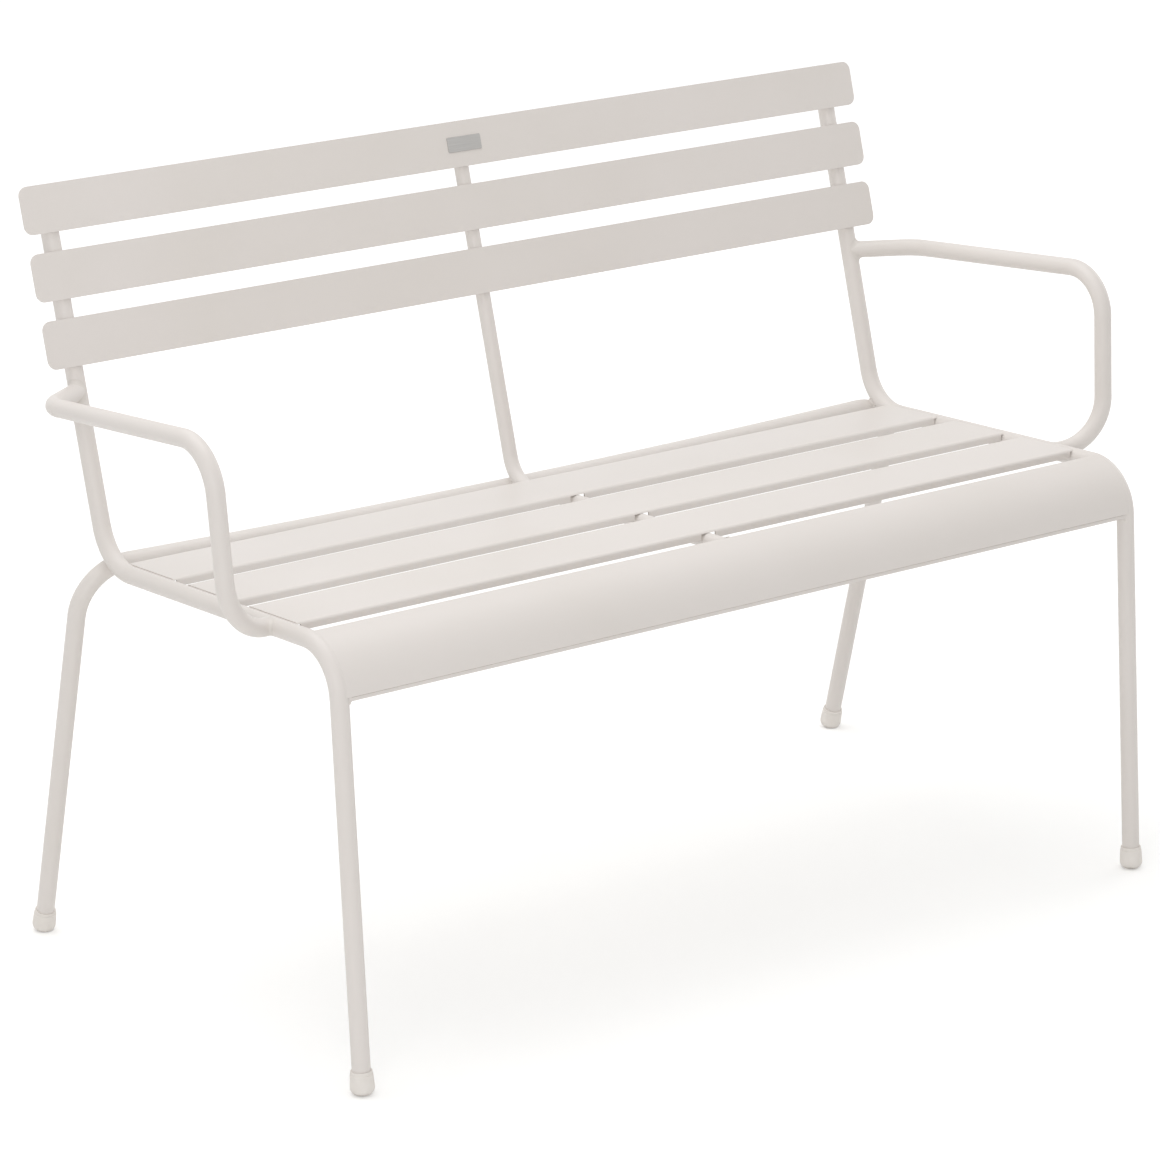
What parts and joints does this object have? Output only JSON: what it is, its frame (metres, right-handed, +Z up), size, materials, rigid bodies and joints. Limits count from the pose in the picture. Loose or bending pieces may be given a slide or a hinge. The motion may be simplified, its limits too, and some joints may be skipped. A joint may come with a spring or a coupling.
{
  "type": "garden bench",
  "caption": "Garden bench for two: bent steel tube frame with looped armrests, slatted sheet steel seat with a rounded front skirt, flat back slats and plastic foot caps.",
  "frame": {"origin": "on the floor, under the middle of the bench's bounding box", "axes": "+Z up, the bench faces -Y, +X is to the right for a person who stands in front and looks at it"},
  "size_m": [1.183, 0.5864, 0.814],
  "materials": {
    "coated_tube": "satin off-white powder coat on steel tube",
    "coated_sheet": "satin off-white powder coat on sheet steel",
    "cap_plastic": "matt off-white moulded plastic",
    "coated_weld": "satin off-white powder coat over weld bead"
  },
  "bodies": {
    "root": {"side_frame_left": "coated_tube", "side_frame_right": "coated_tube", "rear_leg_frame": "coated_tube", "centre_stay": "coated_tube", "armrest_left": "coated_tube", "armrest_right": "coated_tube", "back_slat_top": "coated_sheet", "back_slat_middle": "coated_sheet", "back_slat_bottom": "coated_sheet", "seat_slat_rear": "coated_sheet", "seat_slat_middle": "coated_sheet", "seat_slat_front": "coated_sheet", "front_skirt": "coated_sheet", "skirt_edge_strip": "coated_sheet", "foot_cap_front_left": "cap_plastic", "foot_cap_front_right": "cap_plastic", "foot_cap_rear_left": "cap_plastic", "foot_cap_rear_right": "cap_plastic", "upright_plug_left": "cap_plastic", "upright_plug_right": "cap_plastic", "stay_plug": "cap_plastic", "back_slat_welds": "coated_weld", "seat_slat_welds": "coated_weld", "stay_welds": "coated_weld", "skirt_welds": "coated_weld", "rear_frame_welds": "coated_weld", "armrest_welds": "coated_weld"}
  },
  "joints": []
}
